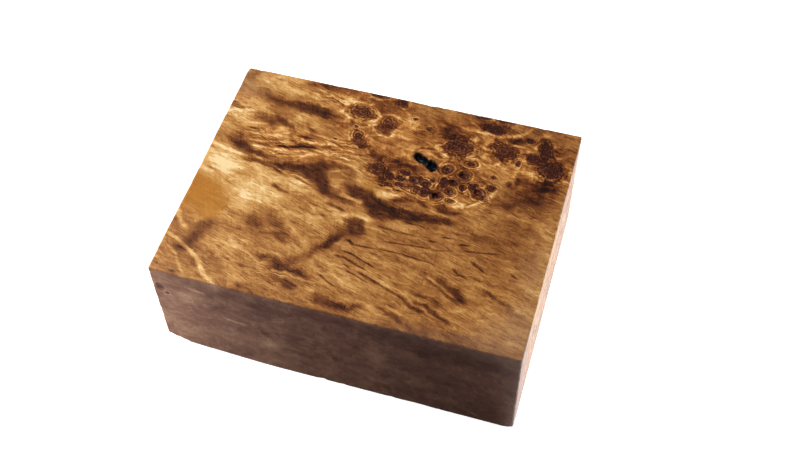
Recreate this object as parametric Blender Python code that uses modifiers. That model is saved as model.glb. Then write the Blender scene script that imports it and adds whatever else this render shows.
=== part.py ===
"""A stabilized burl block: one sawn and sanded piece of burl wood, soaked with clear resin.

Metres, +Z up. The block's long side runs along X, and the origin is the middle of its underside.
It is one solid: a rectangular block with its edges eased, one lower corner worn away and a second one
nicked, and pockets in the top face where bark and knots have left the wood open.
"""

import math

import bmesh
import bpy
from mathutils import Euler, Vector

MM = 0.001

LENGTH = 120 * MM
WIDTH = 90 * MM
HEIGHT = 44 * MM

# Every edge is sanded to a small round.
ARRIS_RADIUS = 0.6 * MM
ARRIS_SEGMENTS = 3
ARRIS_LEAST_ANGLE = math.radians(40)

# A corner is worn away by a flat cut. Each reach is how far the cut runs from the corner along one edge.
WORN_REACH_X = 42 * MM
WORN_REACH_Y = 26 * MM
WORN_REACH_Z = 2.8 * MM
CHIP_REACH_X = 14 * MM
CHIP_REACH_Y = 9 * MM
CHIP_REACH_Z = 5.2 * MM
NICK_REACH_X = 3.2 * MM
NICK_REACH_Y = 2.6 * MM
NICK_REACH_Z = 1.6 * MM

# Pockets in the top face: centre x and y, half length, half width, depth and turn.
BARK_POCKETS = (
    (10.1 * MM, 21.1 * MM, 2.5 * MM, 1.5 * MM, 1.5 * MM, math.radians(-32)),
    (14.7 * MM, 19.0 * MM, 2.4 * MM, 1.8 * MM, 1.8 * MM, math.radians(-55)),
)
KNOT_PITS = (
    (19.4 * MM, 7.1 * MM, 1.5 * MM, 1.3 * MM, 1.1 * MM, math.radians(10)),
    (26.1 * MM, 17.6 * MM, 1.5 * MM, 1.1 * MM, 0.9 * MM, math.radians(-18)),
    (32.2 * MM, 11.9 * MM, 1.4 * MM, 1.1 * MM, 0.9 * MM, math.radians(-35)),
    (23.2 * MM, 14.1 * MM, 1.4 * MM, 0.9 * MM, 0.8 * MM, math.radians(-10)),
)
POCKET_SEGMENTS = 20
POCKET_RINGS = 12
POCKET_RISE = 0.25

SNAP_DISTANCE = 0.001 * MM

WOOD_COLOUR = (0.42, 0.22, 0.09, 1.0)
WOOD_ROUGHNESS = 0.45


def clear_scene():
    for thing in list(bpy.data.objects):
        bpy.data.objects.remove(thing)


def new_collection(name):
    made = bpy.data.collections.new(name)
    bpy.context.scene.collection.children.link(made)
    return made


def wood_material():
    material = bpy.data.materials.new("burl_wood")
    material.use_nodes = True
    shader = material.node_tree.nodes["Principled BSDF"]
    shader.inputs["Base Color"].default_value = WOOD_COLOUR
    shader.inputs["Roughness"].default_value = WOOD_ROUGHNESS
    shader.inputs["Metallic"].default_value = 0.0
    return material


def cut_corner(mesh, corner, reach):
    """Cuts a corner off by the plane through three points, each its own reach along one of the edges."""
    along = [Vector((reach[0], 0, 0)), Vector((0, reach[1], 0)), Vector((0, 0, reach[2]))]
    points = [corner + step for step in along]
    normal = (points[1] - points[0]).cross(points[2] - points[0]).normalized()
    if normal.dot(corner - points[0]) < 0:
        normal.negate()
    cut = bmesh.ops.bisect_plane(
        mesh,
        geom=mesh.verts[:] + mesh.edges[:] + mesh.faces[:],
        dist=SNAP_DISTANCE,
        plane_co=points[0],
        plane_no=normal,
        clear_outer=True,
    )
    rim = [piece for piece in cut["geom_cut"] if isinstance(piece, bmesh.types.BMEdge)]
    bmesh.ops.holes_fill(mesh, edges=rim)


def block_mesh():
    """The sawn block with its corners worn, before its edges are eased."""
    mesh = bmesh.new()
    bmesh.ops.create_cube(mesh, size=1.0)
    bmesh.ops.scale(mesh, vec=(LENGTH, WIDTH, HEIGHT), verts=mesh.verts)
    bmesh.ops.translate(mesh, vec=(0, 0, HEIGHT / 2), verts=mesh.verts)
    front_left = Vector((-LENGTH / 2, -WIDTH / 2, 0))
    front_right = Vector((LENGTH / 2, -WIDTH / 2, 0))
    cut_corner(mesh, front_left, (WORN_REACH_X, WORN_REACH_Y, WORN_REACH_Z))
    cut_corner(mesh, front_left, (CHIP_REACH_X, CHIP_REACH_Y, CHIP_REACH_Z))
    cut_corner(mesh, front_right, (-NICK_REACH_X, NICK_REACH_Y, NICK_REACH_Z))
    bmesh.ops.recalc_face_normals(mesh, faces=mesh.faces)
    data = bpy.data.meshes.new("burl_block")
    mesh.to_mesh(data)
    mesh.free()
    return data


def pocket_cutter(name, pocket, cutters):
    """A flattened ball that hollows one pocket.

    Its middle stands a little above the top face, so that the pocket's wall meets the face at a slant.
    """
    x, y, half_length, half_width, depth, turn = pocket
    mesh = bmesh.new()
    bmesh.ops.create_uvsphere(mesh, u_segments=POCKET_SEGMENTS, v_segments=POCKET_RINGS, radius=1.0)
    half_depth = depth / (1 - POCKET_RISE)
    bmesh.ops.scale(mesh, vec=(half_length, half_width, half_depth), verts=mesh.verts)
    data = bpy.data.meshes.new(name)
    mesh.to_mesh(data)
    mesh.free()
    cutter = bpy.data.objects.new(name, data)
    cutter.location = (x, y, HEIGHT + POCKET_RISE * half_depth)
    cutter.rotation_euler = Euler((0, 0, turn))
    cutter.hide_render = True
    cutter.display_type = "WIRE"
    cutters.objects.link(cutter)
    return cutter


def build():
    clear_scene()
    wood = new_collection("stabilized_burl_block")
    cutters = new_collection("cutters")

    block = bpy.data.objects.new("burl_block", block_mesh())
    block.data.materials.append(wood_material())
    wood.objects.link(block)

    arris = block.modifiers.new("arris", "BEVEL")
    arris.width = ARRIS_RADIUS
    arris.segments = ARRIS_SEGMENTS
    arris.limit_method = "ANGLE"
    arris.angle_limit = ARRIS_LEAST_ANGLE

    for count, pocket in enumerate(BARK_POCKETS + KNOT_PITS):
        hollow = block.modifiers.new(f"pocket_{count}", "BOOLEAN")
        hollow.operation = "DIFFERENCE"
        hollow.solver = "EXACT"
        hollow.object = pocket_cutter(f"pocket_cutter_{count}", pocket, cutters)


build()
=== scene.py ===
"""Dresses the stabilized burl block in figured wood and sets it on a pale floor in soft studio light."""

import math
import random

import bpy
from mathutils import Matrix, Vector, noise


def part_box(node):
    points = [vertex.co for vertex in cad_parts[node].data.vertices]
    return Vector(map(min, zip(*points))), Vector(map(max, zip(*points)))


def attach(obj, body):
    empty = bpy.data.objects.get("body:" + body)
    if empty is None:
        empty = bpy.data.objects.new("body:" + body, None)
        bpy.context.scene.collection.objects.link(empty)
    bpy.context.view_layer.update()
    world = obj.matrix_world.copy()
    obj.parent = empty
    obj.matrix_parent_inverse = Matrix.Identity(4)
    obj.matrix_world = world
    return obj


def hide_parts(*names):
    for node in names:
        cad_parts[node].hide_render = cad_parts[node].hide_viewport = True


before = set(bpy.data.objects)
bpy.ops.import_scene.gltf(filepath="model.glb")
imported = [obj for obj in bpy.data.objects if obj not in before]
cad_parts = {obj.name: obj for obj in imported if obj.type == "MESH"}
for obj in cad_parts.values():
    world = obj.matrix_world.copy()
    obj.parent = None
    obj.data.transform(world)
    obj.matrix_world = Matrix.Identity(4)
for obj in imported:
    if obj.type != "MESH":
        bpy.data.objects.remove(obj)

MM = 0.001
PER_MM = 1000.0

BLOCK_NODE = "burl_block"
BLOCK_LOW, BLOCK_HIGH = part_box(BLOCK_NODE)
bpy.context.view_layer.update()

# Half of the block's width, and its height, in millimetres as the figure is laid out.
HALF_WIDTH = BLOCK_HIGH.y * PER_MM
TOP = BLOCK_HIGH.z * PER_MM

# Camera
CAMERA_PLACE = Vector((0.0770, -0.2160, 0.3428))
CAMERA_HEADING = math.radians(19.07)
CAMERA_TILT = math.radians(53.42)
CAMERA_ROLL = math.radians(-2.52)
CAMERA_LENS = 52.17
CAMERA_SHIFT = (0.0249, -0.0086)

# Wood colours, from the darkest bark to the palest wood, as a screen shows them.
INK = (8, 11, 18)
BARK = (32, 12, 7)
UMBER = (68, 31, 13)
BROWN = (101, 54, 24)
RUSSET = (134, 80, 37)
TAN = (167, 110, 55)
GOLD = (200, 145, 80)
HONEY = (226, 179, 112)
CREAM = (244, 214, 160)
AMBER = (180, 116, 32)
WARM_TINT = (255, 236, 214)
PLUM = (76, 32, 26)
ASH = (140, 104, 92)
# Not a wood colour: the grey of a painted sheen laid over the wood.
GREY_SHEEN = (160, 124, 96)

# The figure on the top face. A stroke is its strength and then its points: x, y and half width, in mm.
SOFT_FLAMES = (
    (0.9, ((-37.5, 42.5, 2.0), (-30, 43.2, 1.6), (-20, 43.6, 1.6))),
    (0.7, ((-36, 40.2, 0.8), (-31, 39.5, 0.7), (-25, 38, 0.7), (-20, 36.5, 0.8))),
    (0.5, ((-57.5, 43.5, 2.2), (-55.5, 41, 2.2))),
    (0.6, ((-53, 37, 2.6), (-47, 33.8, 2.6), (-42, 31.6, 2.2))),
    (1.1, ((-41, 32, 2.0), (-34, 32.4, 2.2), (-28, 31.6, 2.2), (-23.5, 30.2, 1.8))),
    (0.8, ((-50, 24.2, 2.6), (-45, 23.6, 2.8), (-40, 22.8, 2.4))),
    (0.8, ((-41.5, 26.5, 0.9), (-38, 23, 1.3), (-34, 20.8, 0.8))),
    (0.7, ((-33, 27, 1.2), (-29, 24, 1.1), (-26, 21.6, 0.8))),
    (0.8, ((-53.5, 14, 2.4), (-50, 10.8, 2.4), (-46.5, 8.4, 1.8))),
    (0.9, ((-46.5, 8, 1.2), (-42.5, 8.1, 1.4), (-38, 8.6, 1.1))),
    (0.9, ((-47, 5.2, 1.0), (-43, 5, 1.1), (-38, 5, 1.0))),
    (0.9, ((-38, 5.8, 1.4), (-31, 5.6, 2.6), (-24, 5.8, 3.2), (-17, 6, 3.2))),
    (0.5, ((-24, 9.4, 1.4), (-18, 10.4, 1.4), (-10, 9.6, 1.2))),
    (1.0, ((-20.5, 4.5, 2.6), (-17.5, 1, 2.4), (-13.5, -1.4, 2.0), (-6, -3, 0.9))),
    (1.2, ((-10, 3.4, 1.8), (-5.5, 1.8, 2.1), (0, -0.8, 2.4), (4.5, -4, 3.4))),
    (1.0, ((3.5, -3, 3.0), (6, -6.8, 2.6))),
    (1.5, ((3, -2.8, 2.2), (10, -2.6, 1.8), (18, -2.4, 1.5), (27.5, -2.2, 1.1))),
    (0.4, ((8, -4.6, 1.2), (16, -4.8, 1.0), (24, -4.2, 0.8))),
    (0.7, ((5, 1.2, 1.0), (10, 2.8, 1.6), (15, 2.8, 1.4), (19, 1.2, 0.9))),
    (0.9, ((20.5, 3, 1.2), (24, 1.6, 1.4), (29, 2.4, 1.1))),
    (1.6, ((-4.2, -10.8, 1.8), (-1.8, -11.8, 2.6), (0.4, -13.4, 1.8))),
    (0.5, ((-4.4, -14.4, 1.8), (-8, -17.5, 2.4), (-9.8, -21, 2.0))),
    (0.7, ((-5.8, -16.6, 1.0), (-9.4, -21.6, 1.5), (-13, -26.4, 1.5))),
    (0.5, ((-21, -31.4, 2.0), (-16.6, -29.6, 2.4), (-13, -26.8, 1.6))),
    (0.6, ((-46.6, -20.5, 2.6), (-48.4, -26, 3.4), (-50.6, -30.4, 2.6), (-52.4, -34.4, 1.6))),
    (0.5, ((-56, -32.8, 1.2), (-52, -35.6, 1.6))),
    (0.6, ((-38, -16.6, 2.0), (-34.4, -19.4, 3.4), (-30.6, -20.8, 1.8))),
    (0.6, ((-32, -13.6, 1.8), (-26.4, -17.4, 2.6), (-22.6, -22.4, 1.4))),
    (0.6, ((-29, -21.4, 1.0), (-24.4, -22.8, 1.2), (-20.6, -24.6, 0.7))),
    (0.5, ((-34, -2.4, 1.4), (-31.6, -4, 1.8))),
    (0.9, ((-29.5, -30.2, 1.2), (-26, -30.8, 1.4), (-20, -32.4, 1.0))),
    (1.0, ((-21, -32.4, 0.9), (-15, -33.2, 1.0), (-9.6, -34.4, 0.8))),
    (0.9, ((-22, -37, 1.1), (-17, -38.2, 1.3), (-12.5, -39.2, 0.9))),
    (0.5, ((-19, -39.8, 1.2), (-12.5, -41, 1.2))),
    (0.8, ((-6.4, -39.6, 1.6), (-3, -41.8, 2.2), (2, -42.4, 1.8))),
    (0.7, ((2, -42.4, 1.6), (6, -41, 1.4), (9.5, -39.6, 1.0))),
    (0.9, ((13, -38.4, 0.7), (17.5, -39.8, 0.9), (22, -42.6, 1.0))),
    (1.0, ((19, -33, 0.8), (22.5, -35, 0.9), (28.5, -38, 0.6))),
    (0.8, ((22, -30.6, 0.6), (26, -31, 0.9), (33, -33.2, 0.7))),
    (1.0, ((24, -33.4, 0.7), (28.5, -34.8, 1.1), (35.5, -38.4, 0.9))),
    (0.8, ((24, -24, 0.7), (30, -27.6, 0.9), (37, -31.6, 0.6))),
    (1.2, ((28, -24, 0.9), (33.5, -26.3, 1.7), (39, -30.4, 1.3))),
    (0.7, ((42, -24, 0.8), (47, -25.4, 1.0), (54, -29.6, 0.8))),
    (0.5, ((45.5, -30.5, 0.5), (44.6, -33.6, 0.6), (41.6, -35.4, 0.5))),
    (0.6, ((28, -41.6, 1.0), (32.5, -44.6, 1.6))),
    (0.4, ((-40, -39, 2.4), (-35, -40.6, 2.4))),
    (0.6, ((-32, -42, 0.8), (-28, -45, 1.2))),
    (0.6, ((36, 35.6, 1.4), (40, 36.6, 1.8), (44, 39.2, 1.4))),
    (0.6, ((11.5, 40.4, 1.2), (14.5, 37.6, 1.4), (18, 36, 1.4))),
    (0.7, ((15, 34.6, 1.4), (17, 31.6, 1.8))),
    (0.8, ((-13, 20.4, 1.0), (-7, 20, 1.2), (-4.4, 18.6, 1.0))),
    (0.9, ((-5, 17.6, 1.4), (2, 17.8, 1.6), (8, 16.6, 1.5), (13, 15.6, 1.2))),
    (0.9, ((1, 12.6, 1.4), (0.8, 9.4, 1.6), (1.8, 6, 1.2))),
    (0.9, ((43.8, 22, 1.2), (43.4, 18.8, 1.0))),
    (0.9, ((47, 20.6, 2.6), (53, 20.4, 2.6), (58, 22, 2.0))),
    (0.5, ((44, 12.4, 2.6), (50, 14.8, 3.6), (57, 15.6, 3.4))),
    (0.5, ((38, 9.6, 1.4), (44, 8.8, 1.6))),
    (0.4, ((45, -5.2, 1.8), (50, -4.6, 1.6))),
    (0.4, ((52.5, -7, 1.8), (56, -8.4, 1.6))),
)
COMB_LINES = (
    (1.0, ((-3.5, -21.8, 0.3), (0.2, -22.3, 0.35), (4.5, -24, 0.3), (8.5, -25.3, 0.25))),
    (1.0, ((-5, -24, 0.3), (-1.5, -24.4, 0.45), (2.2, -25.8, 0.4), (6.2, -26.9, 0.3))),
    (0.9, ((-1.4, -26.5, 0.3), (1.6, -27.8, 0.25))),
    (0.9, ((0, -28.7, 0.3), (3.4, -29.6, 0.35), (8, -31.3, 0.25))),
    (1.0, ((3.5, -28, 0.3), (8, -29.5, 0.4), (13, -31.4, 0.4), (20, -33.6, 0.5))),
    (0.5, ((8.5, -27, 0.3), (13, -28.3, 0.25))),
    (0.8, ((-8, -32, 0.3), (-4.5, -34, 0.4), (-1, -35.5, 0.3))),
    (0.9, ((-2.6, -17.4, 0.5), (-0.8, -18.7, 0.4), (6.4, -18.4, 0.35))),
    (0.8, ((8, -18.2, 0.25), (14, -18, 0.3), (25, -18.9, 0.3))),
    (0.6, ((5, -20.3, 0.25), (8, -20.4, 0.25))),
    (0.6, ((9, -19.8, 0.25), (12.4, -20, 0.25))),
    (0.8, ((8, -14.9, 0.3), (15, -14.3, 0.35), (24, -13.5, 0.3))),
    (0.6, ((4, -9.6, 0.4), (10, -10.1, 0.4), (18, -10, 0.3))),
    (0.6, ((11, -5.5, 0.5), (18.5, -6, 0.4))),
    (0.7, ((15, -36.8, 0.3), (19.4, -38, 0.3))),
    (0.9, ((25.4, -8.3, 0.25), (29, -8, 0.3))),
    (0.8, ((21.8, -10.8, 0.45), (24.4, -10.6, 0.4))),
    (0.8, ((31, -9.8, 0.4), (35.4, -9, 0.45))),
    (0.7, ((33, -11.6, 0.4), (39, -10.8, 0.4), (44.4, -9.8, 0.3))),
    (0.6, ((24, -14, 0.3), (30, -12.6, 0.35))),
    (0.8, ((31.8, -18.9, 0.4), (34, -20.6, 0.45), (37, -21.4, 0.3))),
    (0.7, ((38, -20.4, 0.4), (42, -21.4, 0.4))),
    (0.8, ((37, -15.2, 0.4), (40, -16.6, 0.6), (41.6, -17.6, 0.3))),
    (0.6, ((49, -15.4, 0.4), (52.4, -17.6, 0.5))),
    (0.6, ((-28, 2.3, 0.4), (-24.4, 0.9, 0.45), (-20.6, 0, 0.3))),
    (0.7, ((-14.2, -5, 0.6), (-10, -6.1, 0.7), (-7, -7, 0.5))),
    (0.5, ((-20, -6.5, 0.3), (-14, -7.8, 0.5), (-10.4, -8.8, 0.3))),
    (0.6, ((-58.4, -1, 0.3), (-53, -2.4, 0.4))),
    (0.6, ((-35.2, 3.6, 0.4), (-31, 1.9, 0.5))),
    (0.7, ((-33.5, -2.4, 1.0), (-30.6, -4.4, 0.7), (-27, -4.8, 0.4))),
    (0.6, ((33.6, 9.6, 0.5), (31.6, 7.4, 0.5), (29.2, 5.6, 0.4))),
    (0.6, ((7.2, 23.2, 0.5), (9.4, 25.4, 0.5), (14, 26, 0.5))),
    (0.6, ((-14.6, -10, 0.6), (-12.6, -10.8, 0.4))),
    (0.6, ((-42.8, -30.4, 0.4), (-40, -31.4, 0.4))),
    (0.5, ((-39, -34.4, 0.4), (-35.6, -35.2, 0.4))),
    (0.5, ((-33.6, -35.4, 0.9), (-31, -36.2, 0.7))),
)
BARK_STREAKS = (
    (1.2, ((-60.5, 27.2, 1.3), (-57.6, 26.8, 1.3), (-54.4, 25.8, 0.5))),
    (0.9, ((-50.6, 18.6, 0.4), (-46.2, 18.3, 0.45))),
    (0.6, ((-39.4, 19.4, 0.3), (-36, 19.8, 0.25))),
    (1.1, ((-32.8, 19.2, 0.5), (-27.4, 19.2, 0.6))),
    (0.8, ((-34, 16.8, 0.3), (-31.8, 16.8, 0.3))),
    (1.2, ((-37.8, 13.2, 0.5), (-33.4, 13.8, 0.7), (-29.6, 15.4, 0.8), (-24.6, 15.8, 0.7))),
    (0.9, ((-31.4, 16.2, 0.5), (-27, 16.4, 0.5))),
    (0.6, ((-37.4, 9.8, 0.3), (-31.4, 10.6, 0.25))),
    (0.7, ((-53.4, -43.6, 0.5), (-50.4, -44.2, 0.7))),
    (0.9, ((32, 17.2, 0.5), (34.4, 16.2, 0.5))),
    (0.8, ((5.6, 5.8, 0.4), (8.6, 5.8, 0.4))),
    (0.8, ((26.2, 14, 0.4), (27.4, 10, 0.4))),
)
PALE_LINES = (
    (1.3, ((-60.5, -29.8, 0.7), (-55.5, -31.8, 0.6), (-50, -34.8, 0.6), (-46, -37.5, 0.7))),
    (1.2, ((-46, -37.5, 0.8), (-44, -40, 0.8), (-41.4, -43, 0.8), (-36, -45.4, 0.7))),
    (0.7, ((-59, -34, 0.5), (-54, -37, 0.6), (-51.4, -40.4, 0.6), (-48, -44.6, 0.5))),
    (1.1, ((-60, 9, 1.0), (-55, 7.6, 0.8), (-50, 6.8, 0.7), (-45.6, 6.1, 0.5))),
    (0.7, ((-44.4, 6.4, 0.5), (-39.4, 6.4, 0.4))),
    (0.7, ((-36.4, 4.9, 0.4), (-31, 2.8, 0.5))),
    (0.9, ((-60.4, -19.4, 1.0), (-57.6, -24.6, 1.1), (-53.6, -28, 0.7))),
    (0.9, ((-52, 20.4, 0.5), (-45, 21.4, 0.5), (-38, 21.2, 0.4))),
    (0.9, ((-50, 16.4, 0.5), (-44, 16.6, 0.5), (-38, 17.6, 0.5), (-34, 18, 0.4))),
    (0.9, ((-46, 13.2, 0.5), (-40, 14.6, 0.5), (-35, 15.6, 0.4))),
    (0.9, ((-48, 11.2, 0.4), (-41, 11.4, 0.5), (-34, 12, 0.5), (-27, 13.4, 0.4))),
    (0.7, ((-41, 9.4, 0.4), (-34, 9.6, 0.4), (-28, 11.2, 0.4))),
    (0.9, ((-31, 17.7, 0.4), (-24, 17.6, 0.5), (-19, 18.8, 0.4))),
    (0.9, ((-28, 21.6, 0.4), (-23, 20.8, 0.5), (-17.4, 20.6, 0.4))),
    (0.8, ((-28, 12, 0.4), (-22, 13.4, 0.5), (-17, 14.6, 0.4), (-11.6, 13.4, 0.4))),
    (0.8, ((-20, 17, 0.4), (-14, 17.8, 0.5), (-8, 17.2, 0.4))),
    (0.8, ((-16, 12.6, 0.4), (-10.4, 11.4, 0.5), (-6, 9, 0.4))),
    (0.8, ((-34.4, 41, 0.5), (-28, 41.4, 0.5))),
    (0.8, ((-60, -2, 0.6), (-53.6, -3.6, 0.5))),
    (1.0, ((-12.4, -0.8, 0.6), (-8, -1.2, 1.0), (-2.8, -2.4, 0.5))),
    (0.8, ((-17.6, 7.2, 0.5), (-13, 8.9, 0.4))),
    (0.8, ((-9, -8.6, 0.8), (-3, -7.4, 1.1), (2.4, -8.4, 0.8))),
    (0.9, ((26, -24.3, 0.4), (30.4, -26.8, 0.5), (38, -31, 0.4))),
    (0.8, ((-10.2, 38, 0.4), (-8, 35, 0.5), (-9.6, 31.6, 0.4))),
    (0.8, ((-17, 33, 0.4), (-12.4, 31.8, 0.4))),
    (0.8, ((-15, 43.2, 0.4), (-11, 42.2, 0.4), (-6.6, 43.8, 0.4))),
    (0.9, ((20, 38, 0.8), (26, 37.8, 0.9), (33, 37.2, 0.8), (39, 39, 0.8))),
    (0.8, ((39, 39, 0.8), (41.6, 41, 0.7), (44, 44.4, 0.6))),
    (0.9, ((24.8, 32.4, 0.5), (27, 29.8, 0.5), (26.8, 27, 0.5), (24.8, 25.2, 0.4))),
    (0.5, ((44.6, 34, 0.5), (42.6, 27, 0.6), (41.4, 18, 0.9))),
    (0.5, ((44.8, 30, 0.4), (44, 22.6, 0.5))),
    (0.7, ((26.8, 31.4, 0.4), (26.9, 27.6, 0.4), (24.4, 24.6, 0.4), (18, 23.8, 0.3))),
    (0.7, ((6.8, 23.6, 0.3), (9.8, 24.6, 0.4), (13.6, 25.2, 0.3))),
    (0.8, ((24.4, 4.2, 0.5), (29.6, 5.2, 0.6), (34, 8.8, 0.4), (36.6, 12.4, 0.4))),
    (0.6, ((28, 16.6, 0.3), (31.4, 18.6, 0.4), (35.8, 17.6, 0.3))),
    (0.6, ((17.4, 15.6, 0.3), (21.4, 16.2, 0.3), (25, 15.2, 0.3))),
    (0.8, ((0, 3, 1.4), (4, 3, 1.6), (8, 3.8, 0.7))),
    (0.7, ((-8.4, 6.4, 2.0), (-4, 6.2, 2.0))),
    (0.6, ((6.6, 24.2, 0.8), (6.2, 20.6, 0.8), (7.6, 18.6, 0.6))),
    (0.6, ((37.8, 14.4, 0.8), (36.4, 11, 0.9), (33, 7.6, 0.8))),
    (0.6, ((18.4, 1.4, 0.8), (21, 0.6, 0.8))),
    (0.5, ((7.4, -0.7, 0.5), (20, -0.4, 0.5))),
    (0.4, ((39, -22.6, 1.4), (40.6, -27.8, 1.6))),
    (0.4, ((37, -33, 1.4), (40, -35, 1.2))),
)

# Broad tones of the top face: strength, x, y, half length, half width and turn. A minus is darker.
BROAD_TONES_AND_SHEEN = (
    # Pale cream at the left edge: partly pale wood, partly a painted sheen.
    (0.42, -54, 2, 15, 9, -10),
    (0.30, -40, -6, 22, 14, -30),
    (0.20, -18, -11, 20, 9, 0),
    (0.25, -46, 40, 16, 9, 0),
    (0.34, -56, 25, 14, 11, 0),
    (0.18, -40, 20, 10, 6, 0),
    (0.14, -34, 27, 9, 5, -20),
    (0.16, -25, 12, 9, 4, 0),
    (0.14, -28, -1, 9, 3, -20),
    (0.10, -8, 22, 8, 5, 0),
    (0.10, 6, 6, 7, 5, 0),
    (0.12, -26, 38, 9, 7, 0),
    (0.15, -12, 13, 8, 4, -20),
    (0.12, 4, -32, 22, 9, -15),
    (0.16, -37, -30, 12, 7, 0),
    (0.14, -40, -12, 9, 9, 0),
    (-0.12, -30, -15, 14, 7, -35),
    (-0.10, -8, -19, 9, 8, 0),
    (0.12, -14, -24, 10, 5, -30),
    (0.08, 3, 30, 6, 12, 0),
    (-0.20, 15, 35, 11, 11, 0),
    (-0.16, 14, 25, 14, 5, 0),
    (-0.14, 26, 42, 12, 7, 0),
    (-0.08, -25, 30, 12, 6, 0),
    (-0.30, 52, 34, 18, 18, 0),
    (-0.22, 50, 14, 20, 9, 10),
    (-0.16, 46, -6, 22, 16, 0),
    (-0.15, 10, 12, 15, 9, -5),
    (-0.16, 25, 14, 11, 8, 0),
    (0.30, 28.5, 6.6, 6, 2.6, 22),
    (0.12, 39, 20, 4, 9, 0),
    (-0.18, -8, 42, 26, 6, 0),
    (0.14, 59, -8, 8, 44, 0),
    (0.16, -50, -20, 9, 6, 0),
    (0.18, -35, -40, 8, 5, 0),
    (0.18, -25, 0, 7, 4, -20),
    (0.16, -25, -20, 6, 5, 0),
    (0.18, -25, 40, 8, 4, 0),
    (-0.14, 15, 0, 8, 3, 0),
    (-0.12, 46, 0, 6, 4, 0),
    (-0.12, 45, 10, 5, 4, 0),
    (0.14, 35, 0, 6, 4, 0),
    (0.10, -25, -30, 6, 4, 0),
    (0.14, -15, 9, 5, 3, 0),
    (0.18, 56, 41, 8, 6, 0),
    (0.10, 5, -20, 8, 5, 0),
    (-0.24, -25, -9, 8, 5, 0),
    (-0.22, -45, -1, 7, 5, 0),
    (-0.18, -15, 30, 6, 5, 0),
    (-0.14, 25, 20, 5, 4, 0),
    (-0.14, 35, -19, 6, 4, 0),
    (-0.12, 45, 20, 4, 4, 0),
    (-0.14, 25, -41, 6, 4, 0),
    (-0.14, -5, 10, 5, 3, 0),
)

# Front face: the same, with z in place of y. The broad dark ones darken the right half of the front: partly dark
# figure, partly painted shade.
FRONT_TONES_AND_SHADE = (
    (0.30, -22, 15, 5, 6, 0),
    (0.24, 14, 24, 6, 12, 0),
    (0.20, -48, 31, 8, 5, -30),
    (0.16, -55, 16, 12, 14, 0),
    (0.14, 26, 17, 8, 6, 0),
    (-0.30, 32, 38, 30, 8, 0),
    (-0.26, 50, 37, 12, 9, 0),
    (-0.20, -30, 38, 20, 4, -8),
    (-0.20, 2, 40, 16, 5, 0),
    (-0.20, 52, 6, 9, 8, 0),
    (-0.34, 38, 20, 46, 34, 0),
    (-0.20, -10, 26, 24, 30, 0),
    (-0.12, -34, 30, 16, 14, 0),
)
FRONT_LINES = (
    (1.8, ((-47, 37.6, 0.5), (-42, 36.8, 0.6))),
    (2.0, ((-37, 24.8, 0.4), (-33, 23.8, 0.5), (-29.5, 23.4, 0.5))),
    (0.7, ((-20.5, 30, 0.4), (-17, 31, 0.4), (-14.5, 32.6, 0.3))),
    (0.7, ((-10, 26, 0.4), (-5, 24.4, 0.6))),
    (0.9, ((45.5, 4.4, 0.5), (49, 1.6, 0.6))),
    (0.5, ((12, 34.6, 0.4), (16, 33, 0.5))),
)
FRONT_KNOTS = (
    (-57.4, 34.6, 1.5, 1.9, 0),
    (-55.4, 31.6, 0.8, 0.7, 0),
)

# Zones of the top face where thin grain lines run round the knots.
BURL_ZONES = (
    (1.0, -9, 30, 20, 16, 0),
    (1.0, 24, 30, 26, 16, 0),
    (1.0, 50, 28, 14, 18, 0),
    (1.2, 16, 12, 26, 13, -5),
    (0.8, -32, 15, 24, 10, -5),
    (0.5, -20, 42, 30, 8, 0),
    (0.4, -56, 30, 10, 8, 0),
)
BRAIDED_ZONES = (
    (1.2, -36, 14.5, 18, 8, 3),
    (1.0, -15, 16, 10, 7, -10),
    (0.9, -57, 26, 8, 6, 0),
    (0.7, -25, 39, 13, 6, -8),
    (1.0, 8, 8, 16, 6, 0),
    (0.6, -18, -36, 16, 7, -10),
    (0.6, -28, 2, 14, 4, -14),
    (0.6, 32, 12, 8, 8, 0),
)
# A greyish painted sheen over the top, strongest at its front right corner and along the right and front edges.
SHEEN_PATCHES = (
    (1.0, 58, -40, 22, 16, 0),
    (0.6, 57, -15, 9, 26, 0),
    (0.5, 30, -44, 30, 6, 0),
    (0.7, -58, 36, 14, 14, 0),
)
AMBER_PATCHES = (
    (1.4, -55, -12, 14, 13, 20),
    (0.7, -49, -19, 8, 5, 60),
    (0.6, -45, -1, 6, 3, 0),
    (0.7, -3, 6, 5, 4, -30),
    (0.6, -49, 5, 6, 2.5, 0),
    (0.4, 27, 26, 5, 3, 0),
)

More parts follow.
